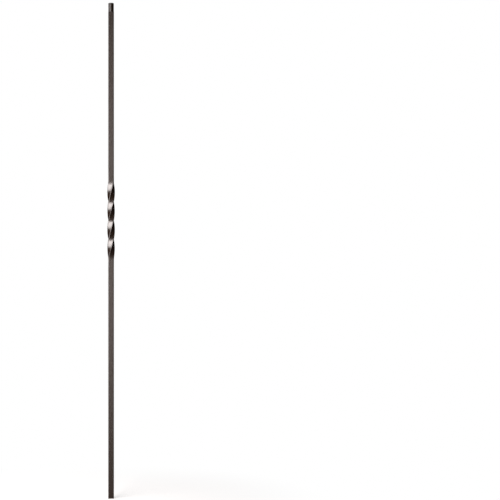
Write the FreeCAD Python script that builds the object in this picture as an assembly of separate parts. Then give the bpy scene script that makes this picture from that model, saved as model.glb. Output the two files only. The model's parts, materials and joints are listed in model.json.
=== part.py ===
"""Iron stair baluster: one square bar with a short twist, and a round dowel turned on its top end.

The foot stands on z = 0, the bar's axis is +Z and the front face looks along -Y.
Lengths are in millimetres.
"""

import FreeCAD, Part
import math
import os

from FreeCAD import Vector

# The bar
overall_length = 1117.6
bar_width = 12.7
crisp_corner_radius = 1.2
soft_corner_radius = 1.7
foot_chamfer = 0.4

# The twist: its middle above the foot, its turns, and the stretch at each end where its rate builds up
twist_middle_height = 627.2
quarter_turns = 4
quarter_turn_length = 42.4
twist_run_in = 12.0
section_spacing = 3.0

# The dowel that goes up into the handrail, and the taper that the bar's corners run out on below it
dowel_diameter = 12.2
dowel_length = 19.05
dowel_end_chamfer = 0.8
shoulder_taper_deg = 30.0

# Sizes that follow from those above
half_width = bar_width / 2
dowel_radius = dowel_diameter / 2
dowel_base_height = overall_length - dowel_length
quarter_turn_deg = 90.0
whole_turn_deg = quarter_turns * quarter_turn_deg
twist_rate = quarter_turn_deg / quarter_turn_length
twist_length = quarter_turns * quarter_turn_length + twist_run_in
twist_foot_height = twist_middle_height - twist_length / 2
twist_top_height = twist_middle_height + twist_length / 2

up = Vector(0, 0, 1)
bar_foot = Vector(0, 0, 0)


def corner_arc(corner):
    """Start, middle and end of a rounded corner; corners 0 to 3 go anticlockwise from the back right."""
    radius = soft_corner_radius if corner % 2 else crisp_corner_radius
    angles = [math.radians(quarter_turn_deg * (corner + share)) for share in (0, 0.5, 1)]
    outwards = [Vector(math.cos(angle), math.sin(angle), 0) for angle in angles]
    centre = outwards[1] * (half_width - radius) * math.sqrt(2)
    return [centre + direction * radius for direction in outwards]


def bar_section(height, turn_deg):
    """The bar's outline as a closed wire at a height, turned about the bar's axis."""
    arcs = [corner_arc(corner) for corner in range(4)]
    edges = []
    for arc, next_arc in zip(arcs, arcs[1:] + arcs[:1]):
        edges.append(Part.Arc(*arc).toShape())
        edges.append(Part.LineSegment(arc[-1], next_arc[0]).toShape())
    outline = Part.Wire(edges)
    outline.rotate(bar_foot, up, turn_deg)
    outline.translate(up * height)
    return outline


def straight_bar(low, high, turn_deg):
    """A plain stretch of bar between two heights."""
    return Part.Face(bar_section(low, turn_deg)).extrude(up * (high - low))


def twist_angle(rise):
    """How far the bar has turned at a rise above the twist's foot, in degrees, right-handed going up."""
    below_top = twist_length - rise
    if rise < twist_run_in:
        return twist_rate * rise**2 / (2 * twist_run_in)
    if below_top < twist_run_in:
        return whole_turn_deg - twist_rate * below_top**2 / (2 * twist_run_in)
    return twist_rate * (rise - twist_run_in / 2)


def twisted_bar():
    """The twisted stretch, lofted through evenly spaced outlines that turn with the twist."""
    count = math.ceil(twist_length / section_spacing)
    rises = [twist_length * step / count for step in range(count + 1)]
    outlines = [bar_section(twist_foot_height + rise, twist_angle(rise)) for rise in rises]
    return Part.makeLoft(outlines, True)


def foot_shank():
    """The long plain stretch below the twist, with the edges of its sawn end broken."""
    shank = straight_bar(0, twist_foot_height, 0)
    end_edges = [edge for edge in shank.Edges if edge.BoundBox.ZMax < foot_chamfer]
    return shank.makeChamfer(foot_chamfer, end_edges)


def turned_envelope(low):
    """What the lathe leaves above a height: room for the whole bar, a taper, and the dowel."""
    clear_radius = bar_width
    taper_height = (clear_radius - dowel_radius) / math.tan(math.radians(shoulder_taper_deg))
    profile = [
        (0, low),
        (clear_radius, low),
        (clear_radius, dowel_base_height - taper_height),
        (dowel_radius, dowel_base_height),
        (dowel_radius, overall_length - dowel_end_chamfer),
        (dowel_radius - dowel_end_chamfer, overall_length),
        (0, overall_length),
        (0, low),
    ]
    outline = Part.makePolygon([Vector(radius, 0, height) for radius, height in profile])
    return Part.Face(outline).revolve(bar_foot, up, 360)


def rail_shank():
    """The plain stretch above the twist, turned down to the shoulder and the dowel."""
    shank = straight_bar(twist_top_height, overall_length, whole_turn_deg)
    return shank.common(turned_envelope(twist_top_height))


def baluster():
    """The three stretches as the one solid bar that they are."""
    return foot_shank().fuse([twisted_bar(), rail_shank()]).removeSplitter()


def main():
    os.makedirs("parts", exist_ok=True)
    bar = baluster()
    bar.exportStep("parts/baluster.step")
    print(f"baluster: {len(bar.Solids)} solid, valid {bar.isValid()}, {bar.Volume / 1000:.2f} cm3")


main()
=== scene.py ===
"""Iron stair baluster in satin black: a square bar with one twist and a round dowel for the handrail."""

import json
import math

import bmesh
import bpy
from mathutils import Euler, Matrix, Vector


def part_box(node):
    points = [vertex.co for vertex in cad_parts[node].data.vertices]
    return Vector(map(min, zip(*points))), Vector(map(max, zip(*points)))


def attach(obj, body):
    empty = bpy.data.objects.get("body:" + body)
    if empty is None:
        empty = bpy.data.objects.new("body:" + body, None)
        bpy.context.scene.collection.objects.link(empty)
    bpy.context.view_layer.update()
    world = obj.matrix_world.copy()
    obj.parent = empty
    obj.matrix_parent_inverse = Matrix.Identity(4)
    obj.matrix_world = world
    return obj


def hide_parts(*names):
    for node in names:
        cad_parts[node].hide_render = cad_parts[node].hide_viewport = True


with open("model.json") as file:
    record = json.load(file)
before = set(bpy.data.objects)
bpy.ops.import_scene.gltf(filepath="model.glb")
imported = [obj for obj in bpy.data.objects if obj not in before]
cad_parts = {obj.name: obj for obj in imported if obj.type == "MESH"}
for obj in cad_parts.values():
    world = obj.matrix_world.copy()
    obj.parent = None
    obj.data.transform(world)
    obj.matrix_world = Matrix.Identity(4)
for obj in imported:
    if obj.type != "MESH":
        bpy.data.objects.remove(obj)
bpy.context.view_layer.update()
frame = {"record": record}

bl_info = {
    "name": "Twisted iron baluster",
    "version": (1, 0, 0),
    "blender": (4, 5, 0),
    "location": "3D View > Sidebar > Baluster",
    "description": "Models a square iron stair baluster with one twist and stages it in a white studio",
    "category": "Object",
}

MM = 0.001
QUARTER_TURN = math.radians(90)
WHITE = (1, 1, 1, 1)

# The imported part
NODE = "baluster"
BODY = "root"
foot_corner, top_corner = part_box(NODE)
mount_dims = {mount["name"]: mount["dims"] for mount in frame["record"]["mounts"]}
dowel_dims = mount_dims["rail_dowel"]

# How finely the bar is divided: along each corner and flat of its section, and along its length
CORNER_SEGMENTS = 8
FLAT_STRIPS = 10
TWIST_STEP = 1 * MM
SHANK_STEP = 20 * MM
CREASE_SEGMENTS = 2
FOOT_SEGMENTS = 3
CORNER_ATTRIBUTE = "corner_share"

# The mesh's material slots after the square bar's own
TURNED_SLOT = 1
FOOT_SLOT = 2

# The places of the colours among a mix node's inputs, and of the mixed colour among its outputs
MIX_FIRST_COLOR = 6
MIX_SECOND_COLOR = 7
MIXED_COLOR = 2

# The paint's pattern: its drifts of tone, flecks, orange peel and bands, by how many there are to the metre
DRIFTS = 35.0
FLECKS = 900.0
PEEL_DIMPLES = 700.0
BANDS = (60.0, 60.0, 600.0)

# The tool marks under the paint: their pitch, their depth as a share of the peel's, and how far they wander
TURNING_PITCH = 0.45 * MM
TURNING_SHARE = 0.35
SAWING_PITCH = 0.9 * MM
SAWING_SHARE = 0.8
MARK_WANDER = 1.5
WAVE_RADIANS = 20.0

# The floor: its reach, how far off the foot its shadow shows and has faded to white, and its lift to white
FLOOR_REACH = 6.0
SHADOW_REACH = 0.1
FADE_END = 0.5
FLOOR_LIFT = 0.62

# The dim cards that the front of the bar mirrors: one upright beyond the camera and one along the floor
FRONT_CARD_HALF_SIZES = (2.0, 1.5)
FRONT_CARD_PLACE = (0.5, -4.0, 1.5)
LOW_CARD_HALF_WIDTH = 1.2
LOW_CARD_ALONG = (-3.95, 0.3)
LOW_CARD_LEVEL = 1 * MM

# The flags close to the bar: how far off they stand, where they begin and end, and half their window
FLAG_DISTANCE = 0.03
RIGHT_FLAG_FRONT = -0.345
LEFT_FLAG_FRONT = -0.065
BLACK_FLAG_BACK = 0.08
FLAG_BACK = 0.17
HALF_WINDOW = 0.0085

# How far the black flags reach below and above the twist, and below and above the bar's top
TWIST_FLAG_BELOW = 9.4 * MM
TWIST_FLAG_ABOVE = 11 * MM
DOWEL_FLAG_BELOW = 27.6 * MM
DOWEL_FLAG_ABOVE = 132.4 * MM

# Where the bar lies in the picture, in pixels from its top left corner
PICTURE_SIDE = 500
TOP_ROW = 3.15
FOOT_ROW = 498.3
BAR_COLUMN = 111.1


class BarSizes(bpy.types.PropertyGroup):
    """Sizes of the iron bar"""

    length: bpy.props.FloatProperty(
        name="Length",
        description="From the foot to the top of the dowel",
        default=top_corner.z - foot_corner.z,
        min=0.3,
        unit="LENGTH",
    )
    width: bpy.props.FloatProperty(
        name="Bar width",
        description="Across the flats of the square bar",
        default=12.7 * MM,
        min=6 * MM,
        unit="LENGTH",
    )
    crisp_radius: bpy.props.FloatProperty(
        name="Crisp corner radius",
        description="Radius of the front left and back right corners",
        default=1.2 * MM,
        min=0.1 * MM,
        unit="LENGTH",
    )
    soft_radius: bpy.props.FloatProperty(
        name="Soft corner radius",
        description="Radius of the front right and back left corners",
        default=1.7 * MM,
        min=0.1 * MM,
        unit="LENGTH",
    )
    foot_break: bpy.props.FloatProperty(
        name="Foot edge break",
        description="How far the edges of the sawn foot are taken off",
        default=0.4 * MM,
        min=0.05 * MM,
        unit="LENGTH",
    )
    twist_middle: bpy.props.FloatProperty(
        name="Twist height",
        description="Middle of the twist above the foot",
        default=627.2 * MM,
        unit="LENGTH",
    )
    quarter_turns: bpy.props.IntProperty(
        name="Quarter turns",
        description="Quarter turns in the twist, right-handed going up",
        default=4,
        min=1,
    )
    quarter_turn_length: bpy.props.FloatProperty(
        name="Quarter turn length",
        description="Length of bar that each quarter turn takes",
        default=42.4 * MM,
        min=10 * MM,
        unit="LENGTH",
    )
    twist_run_in: bpy.props.FloatProperty(
        name="Twist run-in",
        description="Length at each end over which the twist builds up",
        default=12 * MM,
        min=1 * MM,
        unit="LENGTH",
    )
    dowel_radius: bpy.props.FloatProperty(
        name="Dowel radius",
        description="Radius of the round dowel",
        default=dowel_dims["r_mm"] * MM,
        unit="LENGTH",
    )
    dowel_wall: bpy.props.FloatProperty(
        name="Dowel wall",
        description="Height of the dowel's round wall, below its chamfer",
        default=dowel_dims["length_mm"] * MM,
        unit="LENGTH",
    )
    dowel_chamfer: bpy.props.FloatProperty(
        name="Dowel chamfer",
        description="Chamfer round the top of the dowel",
        default=0.8 * MM,
        unit="LENGTH",
    )
    taper_angle: bpy.props.FloatProperty(
        name="Shoulder taper",
        description="Slope of the turned shoulder from the bar's axis",
        default=math.radians(30),
        unit="ROTATION",
    )
    crease_softness: bpy.props.FloatProperty(
        name="Crease softness",
        description="How far the paint rounds off the turned creases",
        default=0.12 * MM,
        unit="LENGTH",
    )


class PaintLook(bpy.types.PropertyGroup):
    """Colour and surface of the satin black paint"""

    paint: bpy.props.FloatVectorProperty(
        name="Paint",
        description="Colour of the paint on the flats",
        default=(0.019, 0.0102, 0.0063),
        subtype="COLOR",
        min=0,
        max=1,
    )
    edge_paint: bpy.props.FloatVectorProperty(
        name="Edge paint",
        description="Colour of the thinner paint along the rounded corners",
        default=(0.025, 0.0135, 0.0085),
        subtype="COLOR",
        min=0,
        max=1,
    )
    mottle: bpy.props.FloatProperty(
        name="Mottle",
        description="How much the paint's tone drifts along the bar",
        default=0.25,
        subtype="FACTOR",
        min=0,
        max=1,
    )
    roughness: bpy.props.FloatProperty(
        name="Roughness",
        description="Roughness of the satin paint",
        default=0.3,
        subtype="FACTOR",
        min=0,
        max=1,
    )
    roughness_drift: bpy.props.FloatProperty(
        name="Roughness drift",
        description="How much the roughness varies over the surface",
        default=0.08,
        subtype="FACTOR",
        min=0,
        max=1,
    )
    ior: bpy.props.FloatProperty(
        name="Paint refraction",
        description="Index of refraction of the paint under the top coat",
        default=1.4,
        min=1,
    )
    coat_ior: bpy.props.FloatProperty(
        name="Coat refraction",
        description="Index of refraction of the satin top coat, which sets how strongly the bar mirrors",
        default=1.85,
        min=1,
    )
    coat_bands: bpy.props.FloatProperty(
        name="Coat bands",
        description="How much the top coat thins in fine bands across the bar",
        default=0.2,
        subtype="FACTOR",
        min=0,
        max=1,
    )
    corner_wear: bpy.props.FloatProperty(
        name="Corner wear",
        description="How much of the top coat has worn off along the rounded corners",
        default=1.0,
        subtype="FACTOR",
        min=0,
        max=1,
    )
    peel_depth: bpy.props.FloatProperty(
        name="Orange peel",
        description="Depth of the paint's fine orange peel",
        default=0.012 * MM,
        unit="LENGTH",
    )


class StudioSetup(bpy.types.PropertyGroup):
    """Camera, light and floor of the white studio"""

    lens: bpy.props.FloatProperty(
        name="Lens",
        description="Focal length of the camera",
        default=100,
        unit="CAMERA",
    )
    key_power: bpy.props.FloatProperty(
        name="Key power",
        description="Power of the softbox at the left of the camera",
        default=36,
        unit="POWER",
    )
    key_tint: bpy.props.FloatVectorProperty(
        name="Key tint",
        description="Colour of the softbox",
        default=(1.0, 0.925, 0.9),
        subtype="COLOR",
        min=0,
        max=1,
    )
    key_width: bpy.props.FloatProperty(
        name="Key width",
        description="Width of the softbox",
        default=2.1,
        unit="LENGTH",
    )
    key_tall: bpy.props.FloatProperty(
        name="Key height",
        description="Height of the softbox itself",
        default=1.0,
        unit="LENGTH",
    )
    key_near_edge: bpy.props.FloatProperty(
        name="Key near edge",
        description="Angle at the bar between the camera and the softbox's near edge",
        default=math.radians(13),
        unit="ROTATION",
    )
    key_distance: bpy.props.FloatProperty(
        name="Key distance",
        description="How far in front of the bar the softbox stands",
        default=1.0,
        unit="LENGTH",
    )
    key_middle: bpy.props.FloatProperty(
        name="Key level",
        description="Height of the softbox's middle above the floor",
        default=0.61,
        unit="LENGTH",
    )
    key_turn: bpy.props.FloatProperty(
        name="Key turn",
        description="How far the softbox is turned from facing straight back",
        default=math.radians(11),
        unit="ROTATION",
    )
    key_spread: bpy.props.FloatProperty(
        name="Key spread",
        description="Angle that the softbox throws its light over",
        default=math.radians(150),
        unit="ROTATION",
    )
    room_light: bpy.props.FloatProperty(
        name="Room light",
        description="Strength of the even light from all round",
        default=0.1,
        min=0,
    )
    black_tone: bpy.props.FloatVectorProperty(
        name="Black flags",
        description="Tone of the flags that the twist and the dowel mirror at their sides",
        default=(0.003, 0.003, 0.003),
        subtype="COLOR",
        min=0,
        max=1,
    )
    grey_tone: bpy.props.FloatVectorProperty(
        name="Grey flags",
        description="Tone of the flags at the right of the plain shanks and behind them",
        default=(0.18, 0.15, 0.13),
        subtype="COLOR",
        min=0,
        max=1,
    )
    pale_tone: bpy.props.FloatVectorProperty(
        name="Pale flags",
        description="Tone of the flags between the shanks and the softbox, and behind the twist and dowel",
        default=(0.6, 0.55, 0.52),
        subtype="COLOR",
        min=0,
        max=1,
    )
    dim_tone: bpy.props.FloatVectorProperty(
        name="Dim tone",
        description="Tone of the dim wall and floor that the front of the bar mirrors",
        default=(0.083, 0.068, 0.058),
        subtype="COLOR",
        min=0,
        max=1,
    )
    floor_tone: bpy.props.FloatVectorProperty(
        name="Floor tone",
        description="Colour of the pale floor",
        default=(0.85, 0.85, 0.85),
        subtype="COLOR",
        min=0,
        max=1,
    )


def twist_length(sizes):
    """Length of the twisted stretch, with a run-in shared between its two ends."""
    return sizes.quarter_turns * sizes.quarter_turn_length + sizes.twist_run_in


def twist_angle(sizes, rise):
    """How far the bar has turned at a rise above the twist's foot."""
    run_in = sizes.twist_run_in
    rate = QUARTER_TURN / sizes.quarter_turn_length
    below_top = twist_length(sizes) - rise
    if rise < run_in:
        return rate * rise**2 / (2 * run_in)
    if below_top < run_in:
        return QUARTER_TURN * sizes.quarter_turns - rate * below_top**2 / (2 * run_in)
    return rate * (rise - run_in / 2)


def round_corners(bm, corners, radius):
    """Rounds some corners of a flat outline to a radius."""
    bmesh.ops.bevel(
        bm,
        geom=corners,
        offset=radius,
        offset_type="OFFSET",
        segments=CORNER_SEGMENTS,
        profile=0.5,
        affect="VERTICES",
        material=-1,
    )


def section_ring(bm, sizes):
    """The bar's outline at its foot, with two crisp and two soft corners, and flats cut into strips."""
    bmesh.ops.create_grid(bm, x_segments=1, y_segments=1, size=sizes.width / 2)
    crisp = [vert for vert in bm.verts if vert.co.x * vert.co.y > 0]
    soft = [vert for vert in bm.verts if vert.co.x * vert.co.y < 0]
    round_corners(bm, crisp, sizes.crisp_radius)
    round_corners(bm, soft, sizes.soft_radius)
    flats = [edge for edge in bm.edges if edge.calc_length() > sizes.width / 2]
    bmesh.ops.bisect_edges(bm, edges=flats, cuts=FLAT_STRIPS - 1)
    bmesh.ops.delete(bm, geom=bm.faces[:], context="FACES_ONLY")
    mark_corners(bm, sizes)
    return bm.edges[:]


def mark_corners(bm, sizes):
    """Notes how far round a corner each point is, from 0 on the flats to 1 at a corner's middle."""
    share = bm.verts.layers.float.new(CORNER_ATTRIBUTE)
    for vert in bm.verts:
        crisp = vert.co.x * vert.co.y > 0
        radius = sizes.crisp_radius if crisp else sizes.soft_radius
        centre = sizes.width / 2 - radius
        past_flats = min(abs(vert.co.x), abs(vert.co.y)) - centre
        vert[share] = max(0.0, past_flats / (radius * math.sqrt(0.5)))


def climb(bm, ring, rise, turn=0.0, steps=1):
    """Draws the bar upwards from a ring of edges, turning as it goes, and gives its new top ring."""
    spun = bmesh.ops.spin(
        bm,
        geom=ring,
        cent=(0, 0, 0),
        axis=(0, 0, 1),
        dvec=(0, 0, rise / steps),
        angle=turn,
        steps=steps,
    )
    return [item for item in spun["geom_last"] if isinstance(item, bmesh.types.BMEdge)]


def ring_points(ring):
    """The points of a ring of edges, each once."""
    return {vert for edge in ring for vert in edge.verts}


def plain_shank(bm, ring, rise):
    """A straight stretch of the square bar."""
    return climb(bm, ring, rise, steps=math.ceil(rise / SHANK_STEP))


def twisted_stretch(bm, ring, sizes):
    """The twist, drawn in short steps that each add a little turn."""
    length = twist_length(sizes)
    count = math.ceil(length / TWIST_STEP)
    rises = [length * step / count for step in range(count + 1)]
    for low, high in zip(rises, rises[1:]):
        ring = climb(bm, ring, high - low, twist_angle(sizes, high) - twist_angle(sizes, low))
    return ring


def turned_end(bm, ring, sizes, dowel_base):
    """The tapered shoulder and the dowel, from the last square ring, with the rings that are creases."""
    share = bm.verts.layers.float[CORNER_ATTRIBUTE]
    for vert in ring_points(ring):
        outside_dowel = vert.co.xy.length - sizes.dowel_radius
        vert.co.z = dowel_base - outside_dowel / math.tan(sizes.taper_angle)
    creases = list(ring)
    ring = climb(bm, ring, 0)
    for vert in ring_points(ring):
        vert.co.xy = vert.co.xy.normalized() * sizes.dowel_radius
        vert.co.z = dowel_base
        vert[share] = 0.0
    creases += ring
    ring = climb(bm, ring, sizes.dowel_wall, steps=math.ceil(sizes.dowel_wall / SHANK_STEP))
    creases += ring
    ring = climb(bm, ring, sizes.dowel_chamfer)
    end_share = 1 - sizes.dowel_chamfer / sizes.dowel_radius
    bmesh.ops.scale(bm, vec=(end_share, end_share, 1), verts=list(ring_points(ring)))
    creases += ring
    return ring, creases


def ease_edges(bm, edges, offset, segments):
    """Rounds off a ring of creased edges."""
    bmesh.ops.bevel(
        bm,
        geom=edges,
        offset=offset,
        offset_type="OFFSET",
        segments=segments,
        profile=0.5,
        affect="EDGES",
        material=-1,
    )


def model_bar(bm, sizes):
    """The whole bar from foot to dowel, with the turned end and the foot in slots of their own."""
    dowel_base = sizes.length - sizes.dowel_wall - sizes.dowel_chamfer
    twist_foot = sizes.twist_middle - twist_length(sizes) / 2
    corner_reach = sizes.width / math.sqrt(2) - sizes.dowel_radius
    shoulder_foot = dowel_base - corner_reach / math.tan(sizes.taper_angle)
    foot_ring = section_ring(bm, sizes)
    ring = plain_shank(bm, foot_ring, twist_foot)
    ring = twisted_stretch(bm, ring, sizes)
    ring = plain_shank(bm, ring, shoulder_foot - twist_foot - twist_length(sizes))
    ring = climb(bm, ring, dowel_base - shoulder_foot)
    square_faces = set(bm.faces)
    top_ring, creases = turned_end(bm, ring, sizes, dowel_base)
    ends = bmesh.ops.holes_fill(bm, edges=foot_ring + top_ring)["faces"]
    for face in set(bm.faces) - square_faces:
        face.material_index = TURNED_SLOT
    foot_face = min(ends, key=lambda face: face.calc_center_median().z)
    foot_face.material_index = FOOT_SLOT
    bmesh.ops.recalc_face_normals(bm, faces=bm.faces)
    ease_edges(bm, creases, sizes.crease_softness, CREASE_SEGMENTS)
    ease_edges(bm, foot_ring, sizes.foot_break, FOOT_SEGMENTS)
    for face in bm.faces:
        face.smooth = True


def new_node(tree, kind, inputs=None, **settings):
    """A node of a kind, with its settings and the values of its unlinked inputs."""
    node = tree.nodes.new(kind)
    for name, value in settings.items():
        setattr(node, name, value)
    for name, value in (inputs or {}).items():
        node.inputs[name].default_value = value
    return node


def new_group(name, inputs, outputs):
    """An empty shader node group with named sockets, and its input and output nodes."""
    tree = bpy.data.node_groups.new(name, "ShaderNodeTree")
    for socket, kind in inputs.items():
        tree.interface.new_socket(socket, in_out="INPUT", socket_type=kind)
    for socket, kind in outputs.items():
        tree.interface.new_socket(socket, in_out="OUTPUT", socket_type=kind)
    return tree, tree.nodes.new("NodeGroupInput"), tree.nodes.new("NodeGroupOutput")


def paint_tone_group():
    """The paint's colour with slow drifts of tone along the bar and fine flecks."""
    sockets = {"Coordinates": "NodeSocketVector", "Paint": "NodeSocketColor", "Mottle": "NodeSocketFloat"}
    tree, given, made = new_group("Paint tone", sockets, {"Color": "NodeSocketColor"})
    drift = new_node(tree, "ShaderNodeTexNoise", {"Scale": DRIFTS, "Detail": 3.0, "Roughness": 0.55})
    fleck = new_node(tree, "ShaderNodeTexNoise", {"Scale": FLECKS, "Detail": 2.0, "Roughness": 0.6})
    both = new_node(tree, "ShaderNodeMath", operation="ADD")
    swing = new_node(tree, "ShaderNodeMath", {1: 1.0}, operation="SUBTRACT")
    value = new_node(tree, "ShaderNodeMath", {2: 1.0}, operation="MULTIPLY_ADD")
    tint = new_node(tree, "ShaderNodeHueSaturation")
    for noise in (drift, fleck):
        tree.links.new(given.outputs["Coordinates"], noise.inputs["Vector"])
    tree.links.new(drift.outputs["Fac"], both.inputs[0])
    tree.links.new(fleck.outputs["Fac"], both.inputs[1])
    tree.links.new(both.outputs["Value"], swing.inputs[0])
    tree.links.new(swing.outputs["Value"], value.inputs[0])
    tree.links.new(given.outputs["Mottle"], value.inputs[1])
    tree.links.new(value.outputs["Value"], tint.inputs["Value"])
    tree.links.new(given.outputs["Paint"], tint.inputs["Color"])
    tree.links.new(tint.outputs["Color"], made.inputs["Color"])
    return tree


def paint_skin_group():
    """The paint's skin: fine orange peel as a height, and bands across the bar with duller satin."""
    sockets = {"Coordinates": "NodeSocketVector"}
    puts_out = {"Height": "NodeSocketFloat", "Dullness": "NodeSocketFloat"}
    tree, given, made = new_group("Paint skin", sockets, puts_out)
    peel = new_node(tree, "ShaderNodeTexNoise", {"Scale": PEEL_DIMPLES, "Detail": 1.5, "Roughness": 0.5})
    across = new_node(tree, "ShaderNodeMapping", {"Scale": BANDS})
    bands = new_node(tree, "ShaderNodeTexNoise", {"Scale": 1.0, "Detail": 3.0, "Roughness": 0.6})
    centred = new_node(tree, "ShaderNodeMath", {1: 0.5}, operation="SUBTRACT")
    tree.links.new(given.outputs["Coordinates"], peel.inputs["Vector"])
    tree.links.new(given.outputs["Coordinates"], across.inputs["Vector"])
    tree.links.new(across.outputs["Vector"], bands.inputs["Vector"])
    tree.links.new(bands.outputs["Fac"], centred.inputs[0])
    tree.links.new(peel.outputs["Fac"], made.inputs["Height"])
    tree.links.new(centred.outputs["Value"], made.inputs["Dullness"])
    return tree


class SatinPaint:
    """Builds the satin black paints, which differ only in what the iron under them was worked with."""

    def __init__(self, look):
        self.look = look
        self.tone = paint_tone_group()
        self.skin = paint_skin_group()

    def start(self, name):
        """A paint with its tone, satin, top coat and peel, in named nodes that wear or marks can join."""
        look = self.look
        material = bpy.data.materials.new(name)
        material.use_nodes = True
        tree = material.node_tree
        shader = tree.nodes["Principled BSDF"]
        shader.inputs["IOR"].default_value = look.ior
        shader.inputs["Coat IOR"].default_value = look.coat_ior
        shader.inputs["Coat Roughness"].default_value = look.roughness
        place = new_node(tree, "ShaderNodeTexCoord", name="place")
        tone = new_node(tree, "ShaderNodeGroup", node_tree=self.tone, name="tone")
        tone.inputs["Paint"].default_value = (*look.paint, 1)
        tone.inputs["Mottle"].default_value = look.mottle
        skin = new_node(tree, "ShaderNodeGroup", node_tree=self.skin, name="skin")
        satin = new_node(
            tree,
            "ShaderNodeMath",
            {1: look.roughness_drift, 2: look.roughness},
            operation="MULTIPLY_ADD",
        )
        coat = new_node(
            tree,
            "ShaderNodeMath",
            {1: -look.coat_bands, 2: 1.0},
            operation="MULTIPLY_ADD",
            name="coat",
        )
        bump = new_node(tree, "ShaderNodeBump", {"Strength": 1.0, "Distance": look.peel_depth}, name="bump")
        for group in (tone, skin):
            tree.links.new(place.outputs["Object"], group.inputs["Coordinates"])
        tree.links.new(tone.outputs["Color"], shader.inputs["Base Color"])
        for dulled, socket in ((satin, "Roughness"), (coat, "Coat Weight")):
            tree.links.new(skin.outputs["Dullness"], dulled.inputs[0])
            tree.links.new(dulled.outputs["Value"], shader.inputs[socket])
        tree.links.new(skin.outputs["Height"], bump.inputs["Height"])
        tree.links.new(bump.outputs["Normal"], shader.inputs["Normal"])
        return material

    def bar(self):
        """The paint of the square bar, thinner along the rounded corners, where its top coat is worn."""
        material = self.start("satin_black_bar")
        tree = material.node_tree
        nodes = tree.nodes
        corner = new_node(tree, "ShaderNodeAttribute", attribute_name=CORNER_ATTRIBUTE)
        thin = new_node(tree, "ShaderNodeMix", data_type="RGBA")
        thin.inputs[MIX_FIRST_COLOR].default_value = (*self.look.paint, 1)
        thin.inputs[MIX_SECOND_COLOR].default_value = (*self.look.edge_paint, 1)
        worn = new_node(
            tree,
            "ShaderNodeMath",
            {1: -self.look.corner_wear},
            operation="MULTIPLY_ADD",
            use_clamp=True,
        )
        tree.links.new(corner.outputs["Fac"], thin.inputs["Factor"])
        tree.links.new(thin.outputs[MIXED_COLOR], nodes["tone"].inputs["Paint"])
        tree.links.new(corner.outputs["Fac"], worn.inputs[0])
        tree.links.new(nodes["coat"].outputs["Value"], worn.inputs[2])
        tree.links.new(worn.outputs["Value"], nodes["Principled BSDF"].inputs["Coat Weight"])
        return material

    def marked(self, name, direction, pitch, share):
        """A paint over straight tool marks with a direction, a pitch and a share of the peel's depth."""
        material = self.start(name)
        tree = material.node_tree
        nodes = tree.nodes
        marks = new_node(
            tree,
            "ShaderNodeTexWave",
            {"Scale": math.tau / (WAVE_RADIANS * pitch), "Distortion": MARK_WANDER, "Detail": 1.0},
            wave_type="BANDS",
            bands_direction=direction,
        )
        both = new_node(tree, "ShaderNodeMath", {1: share}, operation="MULTIPLY_ADD")
        tree.links.new(nodes["place"].outputs["Object"], marks.inputs["Vector"])
        tree.links.new(marks.outputs["Fac"], both.inputs[0])
        tree.links.new(nodes["skin"].outputs["Height"], both.inputs[2])
        tree.links.new(both.outputs["Value"], nodes["bump"].inputs["Height"])
        return material

    def in_slot_order(self):
        """The paints of the square bar, the turned end and the sawn foot, as the mesh's slots take them."""
        return [
            self.bar(),
            self.marked("satin_black_turned_end", "Z", TURNING_PITCH, TURNING_SHARE),
            self.marked("satin_black_sawn_foot", "X", SAWING_PITCH, SAWING_SHARE),
        ]


class BALUSTER_OT_make_bar(bpy.types.Operator):
    """Model the twisted bar and paint it"""

    bl_idname = "baluster.make_bar"
    bl_label = "Make the bar"

    def execute(self, context):
        mesh = bpy.data.meshes.new("twisted_bar")
        bm = bmesh.new()
        model_bar(bm, context.scene.baluster_bar)
        bm.to_mesh(mesh)
        bm.free()
        for material in SatinPaint(context.scene.baluster_paint).in_slot_order():
            mesh.materials.append(material)
        bar = bpy.data.objects.new("twisted_bar", mesh)
        context.scene.collection.objects.link(bar)
        shading = bar.modifiers.new("flat_flats", "WEIGHTED_NORMAL")
        shading.mode = "FACE_AREA"
        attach(bar, BODY)
        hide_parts(NODE)
        return {"FINISHED"}


def seen_background(tree):
    """A value of 1 for the rays that see the background: straight, in a reflection or through glass."""
    rays = new_node(tree, "ShaderNodeLightPath")
    mirrored = new_node(tree, "ShaderNodeMath", operation="MAXIMUM")
    seen = new_node(tree, "ShaderNodeMath", operation="MAXIMUM")
    tree.links.new(rays.outputs["Is Glossy Ray"], mirrored.inputs[0])
    tree.links.new(rays.outputs["Is Transmission Ray"], mirrored.inputs[1])
    tree.links.new(rays.outputs["Is Camera Ray"], seen.inputs[0])
    tree.links.new(mirrored.outputs["Value"], seen.inputs[1])
    return seen.outputs["Value"]


def white_room(scene, studio):
    """A world that looks white and gives an even, weaker light."""
    world = bpy.data.worlds.new("white_room")
    world.use_nodes = True
    tree = world.node_tree
    tree.nodes.clear()
    light = new_node(tree, "ShaderNodeBackground", {"Color": WHITE, "Strength": studio.room_light})
    white = new_node(tree, "ShaderNodeBackground", {"Color": WHITE, "Strength": 1.0})
    either = new_node(tree, "ShaderNodeMixShader")
    out = new_node(tree, "ShaderNodeOutputWorld")
    tree.links.new(seen_background(tree), either.inputs["Fac"])
    tree.links.new(light.outputs["Background"], either.inputs[1])
    tree.links.new(white.outputs["Background"], either.inputs[2])
    tree.links.new(either.outputs["Shader"], out.inputs["Surface"])
    scene.world = world


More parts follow.
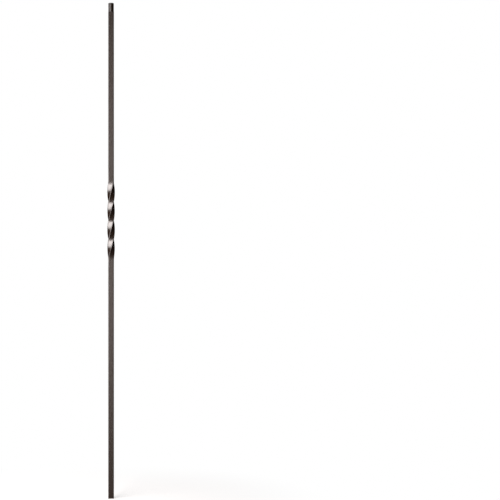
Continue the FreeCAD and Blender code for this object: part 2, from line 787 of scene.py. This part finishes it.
def pale_floor_material(studio):
    """A pale floor that keeps the shadow near the bar's foot and fades into the white room further off."""
    material = bpy.data.materials.new("pale_floor")
    material.use_nodes = True
    tree = material.node_tree
    tree.nodes.clear()
    place = new_node(tree, "ShaderNodeTexCoord")
    distance = new_node(tree, "ShaderNodeVectorMath", operation="LENGTH")
    fade = new_node(
        tree,
        "ShaderNodeMapRange",
        {"From Min": SHADOW_REACH, "From Max": FADE_END},
        interpolation_type="SMOOTHSTEP",
    )
    matt = new_node(tree, "ShaderNodeBsdfDiffuse", {"Color": (*studio.floor_tone, 1)})
    glow = new_node(tree, "ShaderNodeEmission", {"Color": WHITE, "Strength": FLOOR_LIFT})
    lifted = new_node(tree, "ShaderNodeAddShader")
    white = new_node(tree, "ShaderNodeEmission", {"Color": WHITE, "Strength": 1.0})
    shown = new_node(tree, "ShaderNodeMixShader")
    either = new_node(tree, "ShaderNodeMixShader")
    out = new_node(tree, "ShaderNodeOutputMaterial")
    tree.links.new(place.outputs["Object"], distance.inputs[0])
    tree.links.new(distance.outputs["Value"], fade.inputs["Value"])
    tree.links.new(matt.outputs["BSDF"], lifted.inputs[0])
    tree.links.new(glow.outputs["Emission"], lifted.inputs[1])
    tree.links.new(fade.outputs["Result"], shown.inputs["Fac"])
    tree.links.new(lifted.outputs["Shader"], shown.inputs[1])
    tree.links.new(white.outputs["Emission"], shown.inputs[2])
    tree.links.new(seen_background(tree), either.inputs["Fac"])
    tree.links.new(matt.outputs["BSDF"], either.inputs[1])
    tree.links.new(shown.outputs["Shader"], either.inputs[2])
    tree.links.new(either.outputs["Shader"], out.inputs["Surface"])
    return material


def add_panel(scene, name, material, half_sizes, place=(0, 0, 0), turn=(0, 0, 0)):
    """A flat stage panel, made level, turned and put in its place."""
    mesh = bpy.data.meshes.new(name)
    bm = bmesh.new()
    where = Matrix.LocRotScale(Vector(place), Euler(turn), Vector((*half_sizes, 1)))
    bmesh.ops.create_grid(bm, x_segments=1, y_segments=1, size=1, matrix=where)
    bm.to_mesh(mesh)
    bm.free()
    mesh.materials.append(material)
    panel = bpy.data.objects.new(name, mesh)
    scene.collection.objects.link(panel)
    return panel


def even_tone(name, tone):
    """A stage material of one even tone."""
    material = bpy.data.materials.new(name)
    material.use_nodes = True
    tree = material.node_tree
    tree.nodes.clear()
    glow = new_node(tree, "ShaderNodeEmission", {"Color": (*tone, 1), "Strength": 1.0})
    out = new_node(tree, "ShaderNodeOutputMaterial")
    tree.links.new(glow.outputs["Emission"], out.inputs["Surface"])
    return material


def side_flag(scene, name, material, across, along, up):
    """An upright flag beside the bar, at a distance across, with its spans along the view and up."""
    half_sizes = ((up[1] - up[0]) / 2, (along[1] - along[0]) / 2)
    place = (across, sum(along) / 2, sum(up) / 2)
    return add_panel(scene, name, material, half_sizes, place, (0, QUARTER_TURN, 0))


def low_card(scene, material):
    """A card just above the floor, from well in front of the bar to a little behind it."""
    front, back = LOW_CARD_ALONG
    half_sizes = (LOW_CARD_HALF_WIDTH, (back - front) / 2)
    return add_panel(scene, "low_card", material, half_sizes, (0, (front + back) / 2, LOW_CARD_LEVEL))


def flag_heights(sizes):
    """The heights of the flags beside the plain shanks, and of the black ones at the twist and dowel."""
    half_twist = twist_length(sizes) / 2
    twist_low = sizes.twist_middle - half_twist - TWIST_FLAG_BELOW
    twist_high = sizes.twist_middle + half_twist + TWIST_FLAG_ABOVE
    dowel_low = sizes.length - DOWEL_FLAG_BELOW
    dowel_high = sizes.length + DOWEL_FLAG_ABOVE
    shanks = {"lower": (0, twist_low), "upper": (twist_high, dowel_low)}
    black = {"twist": (twist_low, twist_high), "dowel": (dowel_low, dowel_high)}
    return shanks, black


def add_flags(scene, studio, sizes):
    """Flags close to the bar, and dim cards in front of it and below, which only the paint's gloss sees."""
    black = even_tone("black_flag", studio.black_tone)
    grey = even_tone("grey_flag", studio.grey_tone)
    pale = even_tone("pale_flag", studio.pale_tone)
    dim = even_tone("dim_card", studio.dim_tone)
    right, left = FLAG_DISTANCE, -FLAG_DISTANCE
    behind_window = (HALF_WINDOW, FLAG_BACK)
    behind_black = (BLACK_FLAG_BACK, FLAG_BACK)
    shank_heights, black_heights = flag_heights(sizes)
    flags = [
        add_panel(scene, "front_card", dim, FRONT_CARD_HALF_SIZES, FRONT_CARD_PLACE, (QUARTER_TURN, 0, 0)),
        low_card(scene, dim),
    ]
    for name, up in shank_heights.items():
        flags += [
            side_flag(scene, f"{name}_right_front_flag", grey, right, (RIGHT_FLAG_FRONT, -HALF_WINDOW), up),
            side_flag(scene, f"{name}_left_front_flag", pale, left, (LEFT_FLAG_FRONT, -HALF_WINDOW), up),
            side_flag(scene, f"{name}_right_back_flag", grey, right, behind_window, up),
            side_flag(scene, f"{name}_left_back_flag", grey, left, behind_window, up),
        ]
    for name, up in black_heights.items():
        flags += [
            side_flag(scene, f"{name}_right_flag", black, right, (RIGHT_FLAG_FRONT, BLACK_FLAG_BACK), up),
            side_flag(scene, f"{name}_left_flag", black, left, (-HALF_WINDOW, BLACK_FLAG_BACK), up),
            side_flag(scene, f"{name}_right_back_flag", pale, right, behind_black, up),
            side_flag(scene, f"{name}_left_back_flag", pale, left, behind_black, up),
        ]
    for flag in flags:
        flag.visible_camera = False
        flag.visible_diffuse = False
        flag.visible_shadow = False
        flag.visible_transmission = False
        flag.visible_volume_scatter = False


def add_softbox(scene, studio):
    """The key light: a wide softbox at the left of the camera, level with the twist."""
    light = bpy.data.lights.new("key_softbox", "AREA")
    light.shape = "RECTANGLE"
    light.size = studio.key_width
    light.size_y = studio.key_tall
    light.spread = studio.key_spread
    light.energy = studio.key_power
    light.color = studio.key_tint
    softbox = bpy.data.objects.new("key_softbox", light)
    near_edge = Vector((-math.tan(studio.key_near_edge), -1, 0)) * studio.key_distance
    half = Vector((-math.cos(studio.key_turn), math.sin(studio.key_turn), 0)) * studio.key_width / 2
    softbox.location = near_edge + half + Vector((0, 0, studio.key_middle))
    softbox.rotation_euler = (QUARTER_TURN, 0, -studio.key_turn)
    softbox.visible_camera = False
    scene.collection.objects.link(softbox)


def add_camera(scene, studio, bar_length):
    """A level camera in front of the bar, raised and turned to put the bar in its place in the picture."""
    data = bpy.data.cameras.new("camera")
    data.lens = studio.lens
    focal = data.lens / data.sensor_width * PICTURE_SIDE
    depth = focal * bar_length / (FOOT_ROW - TOP_ROW)
    height = (FOOT_ROW - PICTURE_SIDE / 2) * depth / focal
    pan = math.atan((PICTURE_SIDE / 2 - BAR_COLUMN) / focal)
    camera = bpy.data.objects.new("camera", data)
    camera.location = (0, -depth / math.cos(pan), height)
    camera.rotation_euler = (QUARTER_TURN, 0, -pan)
    scene.collection.objects.link(camera)
    scene.camera = camera


class BALUSTER_OT_set_stage(bpy.types.Operator):
    """Set the camera, the softbox, the white room and the pale floor"""

    bl_idname = "baluster.set_stage"
    bl_label = "Set the stage"

    def execute(self, context):
        scene = context.scene
        studio = scene.baluster_studio
        scene.view_settings.view_transform = "Standard"
        white_room(scene, studio)
        add_panel(scene, "floor", pale_floor_material(studio), (FLOOR_REACH, FLOOR_REACH))
        add_flags(scene, studio, scene.baluster_bar)
        add_softbox(scene, studio)
        add_camera(scene, studio, scene.baluster_bar.length)
        return {"FINISHED"}


class BALUSTER_PT_panel(bpy.types.Panel):
    """The baluster's sizes, paint and studio in the sidebar"""

    bl_idname = "BALUSTER_PT_panel"
    bl_label = "Twisted baluster"
    bl_space_type = "VIEW_3D"
    bl_region_type = "UI"
    bl_category = "Baluster"

    def draw(self, context):
        scene = context.scene
        groups = (scene.baluster_bar, scene.baluster_paint, scene.baluster_studio)
        for group in groups:
            box = self.layout.box()
            for name in group.__annotations__:
                box.prop(group, name)
        for operator in (BALUSTER_OT_make_bar, BALUSTER_OT_set_stage):
            self.layout.operator(operator.bl_idname)


CLASSES = (
    BarSizes,
    PaintLook,
    StudioSetup,
    BALUSTER_OT_make_bar,
    BALUSTER_OT_set_stage,
    BALUSTER_PT_panel,
)


def register():
    """Adds the classes, and their settings to the scene."""
    for cls in CLASSES:
        bpy.utils.register_class(cls)
    bpy.types.Scene.baluster_bar = bpy.props.PointerProperty(type=BarSizes)
    bpy.types.Scene.baluster_paint = bpy.props.PointerProperty(type=PaintLook)
    bpy.types.Scene.baluster_studio = bpy.props.PointerProperty(type=StudioSetup)


def unregister():
    """Takes them away again."""
    del bpy.types.Scene.baluster_studio
    del bpy.types.Scene.baluster_paint
    del bpy.types.Scene.baluster_bar
    for cls in reversed(CLASSES):
        bpy.utils.unregister_class(cls)


def main():
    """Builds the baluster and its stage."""
    register()
    bpy.ops.baluster.make_bar()
    bpy.ops.baluster.set_stage()


if __name__ == "__main__":
    main()
